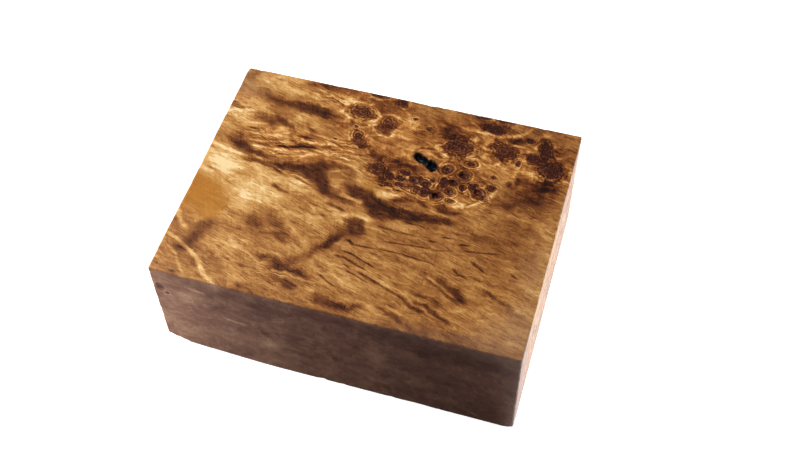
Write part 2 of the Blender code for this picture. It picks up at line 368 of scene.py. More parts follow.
# Knots: x, y, half length, half width and turn.
LARGE_KNOTS = (
    (-14.5, 35.3, 4.6, 3.2, -8),
    (-4.3, 32.4, 2.6, 3.0, 10),
    (-5.2, 29.8, 2.8, 2.0, -25),
    (22.3, 28.7, 5.4, 4.6, 10),
    (36.2, 31.0, 4.4, 3.6, -25),
    (31.6, 40.6, 5.2, 2.6, 0),
    (33.6, 44.6, 3.2, 1.6, 0),
    (25.6, 44.6, 3.0, 1.4, 0),
    (49.4, 35.6, 2.2, 4.0, 8),
    (46.8, 31.0, 3.0, 2.2, 0),
    (53.2, 26.8, 4.6, 3.8, 0),
    (-11.8, 44.8, 3.2, 1.5, 0),
    (-2.6, 43.0, 2.2, 2.0, 0),
    (-2.2, 13.4, 3.2, 2.6, 0),
    (-11.4, 22.4, 2.6, 2.0, 0),
)
PIN_KNOTS = (
    (-13.0, 25.0, 1.6, 1.5, 0),
    (-14.6, 28.6, 0.7, 0.6, 0),
    (-14.0, 26.9, 0.7, 0.6, 0),
    (-19.9, 21.4, 0.7, 0.5, 0),
    (20.1, 18.7, 1.9, 1.9, 0),
    (26.1, 17.6, 2.0, 1.6, 0),
    (23.2, 14.0, 2.1, 1.4, -8),
    (23.1, 9.9, 1.7, 1.7, 0),
    (24.2, 6.3, 1.5, 0.9, 0),
    (19.4, 7.1, 2.0, 2.0, 0),
    (15.2, 7.8, 1.9, 2.1, 0),
    (12.3, 7.9, 1.6, 1.7, 0),
    (10.8, 11.2, 2.0, 1.7, 0),
    (20.3, 12.6, 1.6, 2.8, 0),
    (14.6, 11.0, 1.7, 1.5, 0),
    (12.5, 12.8, 0.8, 0.8, 0),
    (16.8, 13.0, 0.9, 0.9, 0),
    (27.0, 13.0, 1.3, 1.4, 0),
    (30.0, 14.0, 1.8, 1.6, 0),
    (32.2, 11.9, 2.1, 1.9, -30),
    (34.4, 10.4, 1.5, 1.1, -30),
    (35.8, 14.9, 1.5, 1.3, 0),
    (6.0, 11.0, 1.9, 1.5, 0),
    (7.0, 13.6, 1.6, 1.1, 0),
    (3.2, 10.8, 1.5, 1.3, 0),
    (6.6, 8.6, 1.8, 1.2, 0),
    (3.4, 7.6, 1.3, 1.0, 0),
    (9.6, 8.4, 1.2, 1.1, 0),
    (27.2, 23.4, 2.2, 1.5, 0),
    (35.6, 19.6, 0.9, 0.8, 0),
    (41.0, 18.4, 1.0, 1.0, 0),
    (43.8, 38.0, 1.3, 1.1, 0),
    (42.0, 27.4, 0.8, 1.4, 0),
    (4.0, 37.2, 0.9, 0.7, 0),
    (9.6, 34.2, 1.0, 0.8, 0),
)
BARK_POCKETS = (
    (10.1, 21.1, 2.7, 1.7, -32),
    (12.3, 20.1, 2.2, 1.5, -40),
    (14.7, 19.0, 2.6, 2.0, -55),
)

# The block's own shape, in mm: the open bark and knots, as x, y, half length, half width, turn and depth.
HOLLOWS = (
    (10.1, 21.1, 2.6, 1.6, -32, 1.5),
    (12.3, 20.1, 2.2, 1.4, -40, 1.4),
    (14.7, 19.0, 2.5, 1.8, -55, 1.8),
    (19.4, 7.1, 1.5, 1.3, 10, 1.1),
    (26.1, 17.6, 1.5, 1.1, -18, 0.9),
    (32.2, 11.9, 1.4, 1.1, -35, 0.9),
    (23.2, 14.1, 1.4, 0.9, -10, 0.8),
    (20.1, 18.7, 1.0, 0.9, 0, 0.5),
    (10.8, 11.2, 1.2, 0.8, 0, 0.5),
    (23.1, 9.9, 0.8, 0.8, 0, 0.4),
    (34.4, 10.4, 1.2, 0.7, -30, 0.5),
)
KNOT_DIMPLE = 0.07
RIM_RAGGEDNESS = 0.45
RIM_GRAIN = 0.9
FLOOR_ROUGHNESS = 0.35
FLOOR_GRAIN = 2.3

# Corners where the block is worn away: the corner, and how far the cut runs from it along each edge.
SAWN_BOX = (BLOCK_LOW * PER_MM, BLOCK_HIGH * PER_MM)
FRONT_LEFT = SAWN_BOX[0]
FRONT_RIGHT = Vector((SAWN_BOX[1].x, SAWN_BOX[0].y, SAWN_BOX[0].z))
WORN_CORNERS = (
    (FRONT_LEFT, (42, 26, 2.8)),
    (FRONT_LEFT, (14, 9, 5.2)),
    (FRONT_RIGHT, (-3.2, 2.6, 1.6)),
)
CUT_ROUGHNESS = 0.14
CUT_GRAIN = 0.5

EDGE_STEPS = (0.0, 0.09, 0.2, 0.34, 0.5, 0.7, 0.95, 1.3, 1.8)
GRID_STEP = 1.2
FINE_STEP = 0.3
FINE_X = (0.5, 37.5)
FINE_Y = (5.0, 24.5)
ARRIS_ROUND = 0.55
ARRIS_WEAR = 0.5
WEAR_GRAIN = 0.09
SAW_DEPTH = 0.02
SAW_PITCH = 3.4
SAW_LEAN = 0.12
SHARP_ANGLE = math.radians(38)

# Nicks: where each is, how wide and how deep. The placed ones are along the top edges that the camera sees.
NICK_SEED = 11
NICK_SPACING = 9.0
NICK_ZONE = 2.0
NICK_WIDTHS = (0.6, 1.6)
NICK_DEPTHS = (0.08, 0.3)
PLACED_NICKS = (
    (Vector((-58.2, -45, TOP)), 1.5, 0.5),
    (Vector((-55.6, -45, TOP)), 1.1, 0.4),
    (Vector((-52.4, -45, TOP)), 1.4, 0.45),
    (Vector((-49.8, -45, TOP)), 0.9, 0.3),
    (Vector((60, 3.5, TOP)), 1.2, 0.35),
    (Vector((60, 8.2, TOP)), 0.9, 0.4),
    (Vector((60, 11.0, TOP)), 1.1, 0.3),
    (Vector((60, -4.0, TOP)), 0.9, 0.35),
    (Vector((60, -9.5, TOP)), 1.3, 0.3),
)


def from_screen(colour):
    """Turns a colour as a screen shows it, from 0 to 255, into the light that a shader takes."""
    light = []
    for part in colour:
        share = part / 255
        light.append(share / 12.92 if share <= 0.04045 else ((share + 0.055) / 1.055) ** 2.4)
    return (*light, 1.0)


class Figure:
    """Adds nodes to a node tree and joins each to what it reads."""

    def __init__(self, tree):
        self.tree = tree

    def node(self, kind, **settings):
        made = self.tree.nodes.new(kind)
        for name, value in settings.items():
            setattr(made, name, value)
        return made

    def feed(self, socket, value):
        if isinstance(value, bpy.types.NodeSocket):
            self.tree.links.new(value, socket)
        else:
            socket.default_value = value

    def math(self, operation, *values, clamp=False):
        made = self.node("ShaderNodeMath", operation=operation, use_clamp=clamp)
        for socket, value in zip(made.inputs, values):
            self.feed(socket, value)
        return made.outputs[0]

    def shader(self, kind, *values):
        made = self.node(kind)
        for socket, value in zip(made.inputs, values):
            self.feed(socket, value)
        return made.outputs[0]

    def vector(self, operation, *values):
        made = self.node("ShaderNodeVectorMath", operation=operation)
        for socket, value in zip(made.inputs, values):
            self.feed(socket, value)
        return made.outputs["Value" if operation in ("LENGTH", "DOT_PRODUCT", "DISTANCE") else "Vector"]

    def frame_of(self, place, centre, radii, turn=(0, 0, 0)):
        """The place as seen from an ellipsoid, whose surface is then one unit away from its centre."""
        made = self.node("ShaderNodeMapping", vector_type="TEXTURE")
        self.feed(made.inputs["Vector"], place)
        made.inputs["Location"].default_value = centre
        made.inputs["Rotation"].default_value = turn
        made.inputs["Scale"].default_value = radii
        return made.outputs[0]

    def cone(self, place, centre, radii, turn=(0, 0, 0)):
        """One in the middle of an ellipsoid, falling evenly to nothing at its surface."""
        local = self.frame_of(place, centre, radii, turn)
        made = self.node("ShaderNodeTexGradient", gradient_type="SPHERICAL")
        self.feed(made.inputs["Vector"], local)
        return made.outputs["Fac"]

    def noise(self, place, scale=1.0, detail=2.0, roughness=0.5, colour=False):
        made = self.node("ShaderNodeTexNoise", noise_dimensions="3D")
        self.feed(made.inputs["Vector"], place)
        made.inputs["Scale"].default_value = scale
        made.inputs["Detail"].default_value = detail
        made.inputs["Roughness"].default_value = roughness
        return made.outputs["Color" if colour else "Fac"]

    def grain(self, place, size, turn, detail, roughness):
        """A noise stretched along the grain."""
        stretched = self.frame_of(place, (0, 0, 0), size, (0, 0, math.radians(turn)))
        return self.noise(stretched, 1.0, detail, roughness)

    def swing(self, value, reach, start=0.0):
        """Turns a noise from 0 to 1 into a change of up to half of reach either way, added to start."""
        centred = self.math("SUBTRACT", value, 0.5)
        return self.math("MULTIPLY_ADD", centred, reach, start)

    def ease(self, value, low, high, to_low=0.0, to_high=1.0, kind="SMOOTHSTEP"):
        """Turns a value between low and high into one between the other two, smoothly unless told."""
        made = self.node("ShaderNodeMapRange", interpolation_type=kind)
        self.feed(made.inputs["Value"], value)
        made.inputs["From Min"].default_value = low
        made.inputs["From Max"].default_value = high
        made.inputs["To Min"].default_value = to_low
        made.inputs["To Max"].default_value = to_high
        return made.outputs["Result"]

    def blend(self, share, first, second, kind="MIX"):
        made = self.node("ShaderNodeMix", data_type="RGBA", blend_type=kind, clamp_factor=True)
        self.feed(made.inputs[0], share)
        for socket, colour in ((made.inputs[6], first), (made.inputs[7], second)):
            self.feed(socket, colour if isinstance(colour, bpy.types.NodeSocket) else from_screen(colour))
        return made.outputs[2]

    def ramp(self, value, stops):
        """A colour for each value, from stops of a place and a colour."""
        made = self.node("ShaderNodeValToRGB")
        self.feed(made.inputs["Fac"], value)
        elements = made.color_ramp.elements
        while len(elements) < len(stops):
            elements.new(1.0)
        for element, (place, colour) in zip(elements, stops):
            element.position = place
            element.color = colour
        return made.outputs["Color"]

    def gathered(self, operation, values):
        """Joins many values by one operation, two by two, so that no chain grows long."""
        if len(values) == 1:
            return values[0]()
        middle = len(values) // 2
        first = self.gathered(operation, values[:middle])
        second = self.gathered(operation, values[middle:])
        return self.math(operation, first, second)


# A stroke is a chain of ellipsoids: how far each runs past its ends, how much wider it is, and how deep.
STROKE_OVERLAP = 1.45
STROKE_SPREAD = 1.7
STROKE_DEPTH = 3.0
LEAST_DEPTH = 3.0

# How deep in mm the placed figure reaches, and how far out each knot is still felt, in its own radii.
BROAD_DEPTH = 16
FRONT_DEPTH = 8
AMBER_DEPTH = 12
BURL_DEPTH = 30
BRAIDED_DEPTH = 12
SHEEN_DEPTH = 10
LARGE_KNOT_DEPTH = 7
PIN_KNOT_DEPTH = 6
FRONT_KNOT_DEPTH = 3
POCKET_DEPTH = 5
LARGE_KNOT_REACH = 2.3
PIN_KNOT_REACH = 2.0
POCKET_REACH = 1.8

# How far in from the front and down from the top, in mm, strewn knots take over from the placed figure.
FRONT_FADE = (6, 16)
TOP_FADE = (8, 17)
INNER_KNOT_SPACING = 11.0
INNER_KNOT_SIZE = 0.25
INNER_KNOT_SHARE = 0.6
FAR_AWAY = 4.0

# How squarely a face has to look up to count as the polished top, or down to count as the underside.
FACING = (0.35, 0.8)

# Stretched grain: its size in mm along, across and through it, its turn, then detail and roughness.
WAVES = ((13.0, 3.6, 6.0), -14, 3.0, 0.6)
RIPPLES = ((5.5, 1.1, 3.0), -20, 3.0, 0.6)
DASHES = ((4.6, 0.42, 2.2), -18, 2.0, 0.5)
BRAIDS = ((5.5, 0.62, 2.5), -5, 2.0, 0.55)
FLOW = ((12.0, 6.0, 9.0), 0, 2.0, 0.45)

# Fibres: how far apart and how long they are in mm, then detail and roughness.
FIBRES = (0.6, 10.0, 3.0, 0.6)
GRIT = (0.5, 1.6, 3.0, 0.65)
PORES = (0.3, 3.0, 2.0, 0.6)
FIBRE_LEAN = 0.17
FIBRE_LEAN_CHANGE = -0.0045

# Blotches: how many there are to the mm, then detail and roughness.
DRIFT = (0.16, 3.0, 0.6)
MOTTLE = (0.4, 4.0, 0.65)
WOBBLE = (0.4, 3.0, 0.6)
SPECKLE = (1.3, 2.0, 0.6)

# How far the figure is pushed about, in mm, and how far the knots' outlines are, in their own radii.
DRIFT_REACH = 5.0
SHIVER = 1.2
ALONG_FIBRE = (-0.2, 0.96, 0.3)
CRISP_SHARE = 0.3
LARGE_WOBBLE = 1.2
SMALL_WOBBLE = 0.7
GRIT_WOBBLE = 0.25
POCKET_WOBBLE = 0.6

# Round a knot, in its own radii: where its heart, its dark surround and its pale rim begin and end.
HEART_EDGE = (0.35, 1.25)
SURROUND_EDGE = (0.9, 1.75)
RIM_START = (1.1, 1.35)
RIM_END = (1.4, 1.8)
SPECKLE_EDGE = (0.8, 1.6)
POCKET_EDGE = (0.8, 1.3)
LINES_FADE = (1.5, 2.4)

# Grain lines: how many there are round a large and a small knot, and in the winding grain between knots.
LARGE_RINGS = 3.0
PIN_RINGS = 1.7
FLOW_LINES = 4.0
PALE_CREST = (0.55, 1.0)
DARK_TROUGH = (-0.1, -1.0)

# How much summed figure counts as none and how much as all.
FLAME_FILL = (0.0, 1.05)
FLAME_RIPPLE = 2.0
COMB_FILL = (0.05, 0.7)
PALE_FILL = (0.0, 0.9)
BARK_FILL = (0.1, 0.9)
AMBER_FILL = (0.0, 1.2)
BURL_FILL = (0.0, 0.5)
BRAIDED_FILL = (0.0, 0.6)
LEAST_BRAIDED = 0.28
DASH_FILL = (0.54, 0.68)

# How much each kind of figure changes the tone, which is 0 for the darkest bark and 1 for the palest wood.
MIDDLE_TONE = 0.62
BRAID_TONE = 1.3
WAVE_TONE = 0.62
RIPPLE_TONE = 0.46
MOTTLE_TONE = 0.30
FIBRE_TONE = 0.12
DASH_TONE = -0.22
PALE_TONE = 0.26
FLAME_TONE = -0.42
COMB_TONE = -0.36
BARK_TONE = -0.45
SURROUND_TONE = -0.14
RIM_TONE = 0.26
HEART_TONE = -0.24
PALE_LINE_TONE = 0.28
DARK_LINE_TONE = -0.20
SPECKLE_TONE = 0.9

WOOD_RAMP = (
    (0.00, BARK),
    (0.15, UMBER),
    (0.30, BROWN),
    (0.45, RUSSET),
    (0.60, TAN),
    (0.75, GOLD),
    (0.90, HONEY),
    (1.00, CREAM),
)

# How strongly each tint takes over where it is strongest.
WARM_SHARE = 0.6
AMBER_SHARE = 0.8
SHEEN_SHARE = 0.5
PLUM_SHARE = 0.32
ASH_SHARE = 0.5

# The sawn sides: how much of the figure shows on the front and behind it, and how dull and dark they are. The
# darker, cooler colour is partly the duller sawn finish and partly painted shade, full on the front and less
# behind it.
SHOWN_AT_FRONT = 0.65
SHOWN_MORE_BEHIND = 0.3
FRESH_AND_UNSHADED_BEHIND = 0.6
SAWN_AND_SHADED_SATURATION = 0.74
SAWN_AND_SHADED_VALUE = 0.76
SAWN_AND_SHADED_HUE = 0.487

# Finish
POLISH = (0.24, 0.34)
SAWN_ROUGHNESS = 0.22
RESIN_SHINE = 0.12
PORE_STRENGTH = 0.35
PORE_DEPTH = 0.12 * MM


def face_cone(figure, place, face, spot, half_sizes, depth, turn):
    """A cone round an ellipsoid whose middle lies on the top or the front face."""
    along, across = spot
    half_length, half_width = half_sizes
    if face == "top":
        return figure.cone(place, (along, across, TOP), (half_length, half_width, depth), (0, 0, turn))
    return figure.cone(place, (along, -HALF_WIDTH, across), (half_length, depth, half_width), (0, -turn, 0))


def stroke_parts(strokes):
    """Each stretch of each stroke: strength, middle, half length and half width, depth and turn."""
    for strength, points in strokes:
        for (x0, y0, w0), (x1, y1, w1) in zip(points, points[1:]):
            half_width = (w0 + w1) / 2 * STROKE_SPREAD
            half_length = math.hypot(x1 - x0, y1 - y0) / 2 * STROKE_OVERLAP + half_width / 2
            depth = LEAST_DEPTH + half_width * STROKE_DEPTH
            spot = ((x0 + x1) / 2, (y0 + y1) / 2)
            yield strength, spot, (half_length, half_width), depth, math.atan2(y1 - y0, x1 - x0)


def summed_strokes(figure, place, strokes, face="top"):
    def part(strength, spot, half_sizes, depth, turn):
        def made():
            cone = face_cone(figure, place, face, spot, half_sizes, depth, turn)
            return figure.math("MULTIPLY", cone, strength)

        return made

    return figure.gathered("ADD", [part(*values) for values in stroke_parts(strokes)])


def summed_patches(figure, place, patches, depth, face="top"):
    def part(strength, x, y, half_length, half_width, turn):
        def made():
            half_sizes = (half_length, half_width)
            cone = face_cone(figure, place, face, (x, y), half_sizes, depth, math.radians(turn))
            return figure.math("MULTIPLY", cone, strength)

        return made

    return figure.gathered("ADD", [part(*patch) for patch in patches])


def nearest_knot(figure, place, knots, depth, reach, face="top"):
    """How far the place is from the nearest knot's middle, where one is that knot's edge, up to reach."""

    def part(x, y, half_length, half_width, turn):
        def made():
            half_sizes = (half_length * reach, half_width * reach)
            return face_cone(figure, place, face, (x, y), half_sizes, depth * reach, math.radians(turn))

        return made

    highest = figure.gathered("MAXIMUM", [part(*knot) for knot in knots])
    return figure.math("MULTIPLY_ADD", highest, -reach, reach)


def inner_knots(figure, place, inside):
    """Knots strewn through the wood, for the faces whose own knots aren't listed."""
    cells = figure.node("ShaderNodeTexVoronoi", voronoi_dimensions="3D", feature="F1")
    figure.feed(cells.inputs["Vector"], place)
    cells.inputs["Scale"].default_value = 1 / INNER_KNOT_SPACING
    spare = figure.node("ShaderNodeSeparateColor")
    figure.feed(spare.inputs[0], cells.outputs["Color"])
    away = figure.math("DIVIDE", cells.outputs["Distance"], INNER_KNOT_SIZE)
    missing = figure.math("GREATER_THAN", spare.outputs[0], INNER_KNOT_SHARE)
    away = figure.math("MULTIPLY_ADD", missing, FAR_AWAY, away)
    outside = figure.math("SUBTRACT", 1.0, inside)
    return figure.math("MULTIPLY_ADD", outside, FAR_AWAY, away)


def fibre_place(figure, place, spacing, stretch):
    """The place read so that fibres run across the block, and lean the other way at its other end."""
    parts = figure.node("ShaderNodeSeparateXYZ")
    figure.feed(parts.inputs[0], place)
    x, y, z = parts.outputs
    lean = figure.math("MULTIPLY_ADD", x, FIBRE_LEAN_CHANGE, FIBRE_LEAN)
    across = figure.math("MULTIPLY_ADD", y, lean, x)
    spaced = [
        figure.math("DIVIDE", across, spacing),
        figure.math("DIVIDE", y, stretch),
        figure.math("DIVIDE", z, stretch / 2),
    ]
    made = figure.node("ShaderNodeCombineXYZ")
    for socket, part in zip(made.inputs, spaced):
        figure.feed(socket, part)
    return made.outputs[0]


def fibre_grain(figure, place, spacing, length, detail, roughness):
    return figure.noise(fibre_place(figure, place, spacing, length), 1.0, detail, roughness)


def bent_places(figure, place, fibres):
    """The place bent by a slow drift, the same feathered along the fibres, and the true place feathered less."""
    drift = figure.noise(place, *DRIFT, colour=True)
    drift = figure.vector("MULTIPLY_ADD", drift, (DRIFT_REACH,) * 3, (-DRIFT_REACH / 2,) * 3)
    shiver = figure.swing(fibres, SHIVER)
    along_fibre = figure.vector("MULTIPLY", ALONG_FIBRE, shiver)
    drifted = figure.vector("ADD", place, drift)
    feathered = figure.vector("ADD", drifted, along_fibre)
    crisp_shiver = figure.vector("MULTIPLY", along_fibre, (CRISP_SHARE,) * 3)
    crisp = figure.vector("ADD", place, crisp_shiver)
    return drifted, feathered, crisp


def knot_distances(figure, place, inside, wobble, grit):
    """How far the place is from the nearest large knot, the nearest small one and the nearer of both."""
    large = nearest_knot(figure, place, LARGE_KNOTS, LARGE_KNOT_DEPTH, LARGE_KNOT_REACH)
    large = figure.math("MINIMUM", inner_knots(figure, place, inside), large)
    large = figure.math("ADD", figure.swing(wobble, LARGE_WOBBLE), large)
    small = nearest_knot(figure, place, PIN_KNOTS, PIN_KNOT_DEPTH, PIN_KNOT_REACH)
    at_front = nearest_knot(figure, place, FRONT_KNOTS, FRONT_KNOT_DEPTH, PIN_KNOT_REACH, "front")
    small = figure.math("MINIMUM", at_front, small)
    small = figure.math("ADD", figure.swing(wobble, SMALL_WOBBLE), small)
    knot = figure.math("MINIMUM", large, small)
    knot = figure.math("ADD", figure.swing(grit, GRIT_WOBBLE), knot)
    return large, small, knot


def winding_lines(figure, place, large, small, strength):
    """Thin pale and dark grain lines that run round the knots and wind between them."""
    flow = figure.grain(place, *FLOW)
    rings = figure.math("MULTIPLY", small, PIN_RINGS)
    rings = figure.math("MINIMUM", figure.math("MULTIPLY", large, LARGE_RINGS), rings)
    flow = figure.math("MULTIPLY_ADD", flow, FLOW_LINES, rings)
    flow = figure.math("SINE", figure.math("MULTIPLY", flow, math.tau))
    pale_line = figure.math("MULTIPLY", figure.ease(flow, *PALE_CREST), strength)
    dark_line = figure.math("MULTIPLY", figure.ease(flow, *DARK_TROUGH), strength)
    return pale_line, dark_line


def burl_wood():
    """Figured burl wood all through the block, read from where each point lies in it."""
    material = bpy.data.materials.new("burl_wood")
    material.use_nodes = True
    figure = Figure(material.node_tree)
    shader = material.node_tree.nodes["Principled BSDF"]

    coordinates = figure.node("ShaderNodeTexCoord")
    place = figure.vector("MULTIPLY", coordinates.outputs["Object"], (PER_MM, PER_MM, PER_MM))
    normal = figure.node("ShaderNodeSeparateXYZ")
    figure.feed(normal.inputs[0], coordinates.outputs["Normal"])
    polished = figure.ease(normal.outputs[2], *FACING)

    # The placed figure reaches a little way in from the top and the front.
    depth = figure.node("ShaderNodeSeparateXYZ")
    figure.feed(depth.inputs[0], place)
    underside = figure.ease(normal.outputs[2], -FACING[0], -FACING[1])
    behind = figure.ease(depth.outputs[1], FRONT_FADE[0] - HALF_WIDTH, FRONT_FADE[1] - HALF_WIDTH)
    behind = figure.math("MAXIMUM", underside, behind)
    below = figure.ease(depth.outputs[2], TOP - TOP_FADE[1], TOP - TOP_FADE[0], 1.0, 0.0)
    inside = figure.math("MULTIPLY", below, behind)

    # The fibres feather each flame, and a slow drift bends it.
    fibres = fibre_grain(figure, place, *FIBRES)
    drifted, feathered, crisp = bent_places(figure, place, fibres)

    # Waves of darker and paler wood run the long way between the placed flames.
    waves = figure.grain(feathered, *WAVES)
    ripples = figure.grain(feathered, *RIPPLES)
    mottle = figure.noise(feathered, *MOTTLE)

    # Short dark dashes lie along the grain of the top.
    dashes = figure.ease(figure.grain(crisp, *DASHES), *DASH_FILL)
    dashes = figure.math("MULTIPLY", dashes, polished)

    soft = summed_strokes(figure, feathered, SOFT_FLAMES)
    soft = figure.math("MULTIPLY", soft, figure.swing(ripples, FLAME_RIPPLE, 1.0))
    soft = figure.ease(soft, *FLAME_FILL)
    comb = figure.ease(summed_strokes(figure, crisp, COMB_LINES), *COMB_FILL)
    pale = summed_strokes(figure, crisp, PALE_LINES)
    pale = figure.math("ADD", summed_strokes(figure, crisp, FRONT_LINES, "front"), pale)
    pale = figure.ease(pale, *PALE_FILL)
    bark = figure.ease(summed_strokes(figure, crisp, BARK_STREAKS), *BARK_FILL)
    # The broad tones carry a painted sheen at the top's left edge, and the front's tones carry painted shade
    # over its right half.
    broad_tone_and_painted_light = summed_patches(figure, feathered, BROAD_TONES_AND_SHEEN, BROAD_DEPTH)
    at_front = summed_patches(figure, feathered, FRONT_TONES_AND_SHADE, FRONT_DEPTH, "front")
    broad_tone_and_painted_light = figure.math("ADD", at_front, broad_tone_and_painted_light)
    amber = figure.ease(summed_patches(figure, feathered, AMBER_PATCHES, AMBER_DEPTH), *AMBER_FILL)

    # Knots: a dark mottled heart with a few rings round it and a paler rim that comes and goes.
    wobble = figure.noise(place, *WOBBLE)
    grit = fibre_grain(figure, place, *GRIT)
    large, small, knot = knot_distances(figure, place, inside, wobble, grit)
    heart = figure.ease(knot, *HEART_EDGE, 1.0, 0.0)
    surround = figure.ease(knot, *SURROUND_EDGE, 1.0, 0.0)
    rim = figure.math("MULTIPLY", figure.ease(knot, *RIM_START), figure.ease(knot, *RIM_END, 1.0, 0.0))
    rim = figure.math("MULTIPLY", rim, figure.ease(waves, 0.4, 0.6))

    burl = figure.ease(summed_patches(figure, place, BURL_ZONES, BURL_DEPTH), *BURL_FILL)
    burl = figure.math("MAXIMUM", burl, figure.math("MULTIPLY", inside, figure.ease(waves, 0.3, 0.5)))
    line_strength = figure.math("MULTIPLY", burl, figure.ease(mottle, 0.3, 0.6, 0.2, 1.0))
    line_strength = figure.math("MULTIPLY", line_strength, figure.ease(knot, *LINES_FADE, 1.0, 0.35))
    pale_line, dark_line = winding_lines(figure, place, large, small, line_strength)

    # Where bark runs through, thin dark and golden threads lie side by side.
    braids = figure.grain(drifted, *BRAIDS)
    braided = summed_patches(figure, feathered, BRAIDED_ZONES, BRAIDED_DEPTH)
    braided = figure.ease(braided, *BRAIDED_FILL, LEAST_BRAIDED, 1.0)
    braids = figure.math("MULTIPLY", figure.swing(braids, BRAID_TONE), braided)

    tone = figure.math("ADD", broad_tone_and_painted_light, MIDDLE_TONE)
    tone = figure.math("ADD", braids, tone)
    swings = (
        (waves, WAVE_TONE),
        (ripples, RIPPLE_TONE),
        (mottle, MOTTLE_TONE),
        (fibres, FIBRE_TONE),
    )
    for grain, reach in swings:
        tone = figure.math("ADD", figure.swing(grain, reach), tone)
    marks = (
        (dashes, DASH_TONE),
        (pale, PALE_TONE),
        (soft, FLAME_TONE),
        (comb, COMB_TONE),
        (bark, BARK_TONE),
        (surround, SURROUND_TONE),
        (rim, RIM_TONE),
        (heart, HEART_TONE),
        (pale_line, PALE_LINE_TONE),
        (dark_line, DARK_LINE_TONE),
    )
    for mark, change in marks:
        tone = figure.math("MULTIPLY_ADD", mark, change, tone)
    speckle = figure.swing(figure.noise(place, *SPECKLE), SPECKLE_TONE)
    speckle = figure.math("MULTIPLY", speckle, figure.ease(knot, *SPECKLE_EDGE, 1.0, 0.0))
    tone = figure.math("ADD", speckle, tone)

    # The sawn sides show less of the figure than the polished top, and the front the least.
    on_sides = figure.math("MULTIPLY_ADD", behind, SHOWN_MORE_BEHIND, SHOWN_AT_FRONT)
    shown = figure.math("MAXIMUM", polished, on_sides)
    tone = figure.math("MULTIPLY_ADD", figure.math("SUBTRACT", tone, 0.5), shown, 0.5, clamp=True)
    wood = figure.ramp(tone, [(spot, from_screen(colour)) for spot, colour in WOOD_RAMP])
    wood = figure.blend(figure.math("MULTIPLY", burl, WARM_SHARE), wood, WARM_TINT, "MULTIPLY")
    wood = figure.blend(figure.math("MULTIPLY", amber, AMBER_SHARE), wood, AMBER)
    # A greyish painted sheen, strongest at the top's front right corner.
    painted_sheen = summed_patches(figure, feathered, SHEEN_PATCHES, SHEEN_DEPTH)
    wood = figure.blend(figure.ease(painted_sheen, 0.0, 1.0, 0.0, SHEEN_SHARE), wood, GREY_SHEEN)
    wood = figure.blend(figure.math("MULTIPLY", heart, PLUM_SHARE), wood, PLUM)
    fleck = figure.math("MULTIPLY", heart, figure.ease(grit, 0.58, 0.75))
    wood = figure.blend(figure.math("MULTIPLY", fleck, ASH_SHARE), wood, ASH)

    pocket = nearest_knot(figure, place, BARK_POCKETS, POCKET_DEPTH, POCKET_REACH)
    pocket = figure.math("ADD", figure.swing(grit, POCKET_WOBBLE), pocket)
    wood = figure.blend(figure.ease(pocket, *POCKET_EDGE, 1.0, 0.0), wood, INK)

    # The sawn sides are duller and rougher than the polished top, and darker and cooler in colour: partly their
    # duller finish, partly painted shade, full on the front and fading behind it.
    dull_and_shaded = figure.node("ShaderNodeHueSaturation")
    dull_and_shaded.inputs["Hue"].default_value = SAWN_AND_SHADED_HUE
    dull_and_shaded.inputs["Saturation"].default_value = SAWN_AND_SHADED_SATURATION
    dull_and_shaded.inputs["Value"].default_value = SAWN_AND_SHADED_VALUE
    figure.feed(dull_and_shaded.inputs["Color"], wood)
    fresh_and_unshaded = figure.math("MAXIMUM", polished, figure.math("MULTIPLY", behind, FRESH_AND_UNSHADED_BEHIND))
    wood = figure.blend(fresh_and_unshaded, dull_and_shaded.outputs[0], wood)
    figure.feed(shader.inputs["Base Color"], wood)

    gloss = figure.ease(fibres, 0.2, 0.8, *POLISH)
    sawn = figure.math("MULTIPLY_ADD", polished, -SAWN_ROUGHNESS, SAWN_ROUGHNESS)
    figure.feed(shader.inputs["Roughness"], figure.math("ADD", gloss, sawn))
    shader.inputs["Specular IOR Level"].default_value = RESIN_SHINE

    pores = fibre_grain(figure, place, *PORES)
    relief = figure.node("ShaderNodeBump")
    relief.inputs["Strength"].default_value = PORE_STRENGTH
    relief.inputs["Distance"].default_value = PORE_DEPTH
    figure.feed(relief.inputs["Height"], pores)
    figure.feed(shader.inputs["Normal"], relief.outputs[0])
    return material


def grid_lines(low, high, fine=()):
    """Where the lines of the block's net run: close together at its edges and along a fine stretch."""
    stops = [low + EDGE_STEPS[-1], *fine, high - EDGE_STEPS[-1]]
    lines = [low + step for step in EDGE_STEPS[:-1]]
    for count, (start, end) in enumerate(zip(stops, stops[1:])):
        step = FINE_STEP if fine and count == 1 else GRID_STEP
        parts = round((end - start) / step)
        lines += [start + (end - start) * part / parts for part in range(parts)]
    return lines + [high - step for step in reversed(EDGE_STEPS)]


def block_net(lines):
    """The block's skin as one closed net: its points, and its faces, all turned outwards."""
    points = []
    number = {}
    faces = []

    def corner(spot):
        if spot not in number:
            number[spot] = len(points)
            points.append(Vector([places[i] for places, i in zip(lines, spot)]))
        return number[spot]

    for axis in range(3):
        across = (axis + 1) % 3
        along = (axis + 2) % 3
        for end in (0, len(lines[axis]) - 1):
            for i in range(len(lines[across]) - 1):
                for j in range(len(lines[along]) - 1):
                    ring = []
                    for step_i, step_j in ((0, 0), (1, 0), (1, 1), (0, 1)):
                        spot = [end] * 3
                        spot[across] = i + step_i
                        spot[along] = j + step_j
                        ring.append(corner(tuple(spot)))
                    faces.append(ring if end else ring[::-1])
    return points, faces


def rounded(point, radius):
    """Moves a point of the sharp-edged block onto the same block with its edges rounded."""
    inner = Vector([min(max(p, low + radius), high - radius) for p, low, high in zip(point, *SAWN_BOX)])
    return inner + (point - inner).normalized() * radius


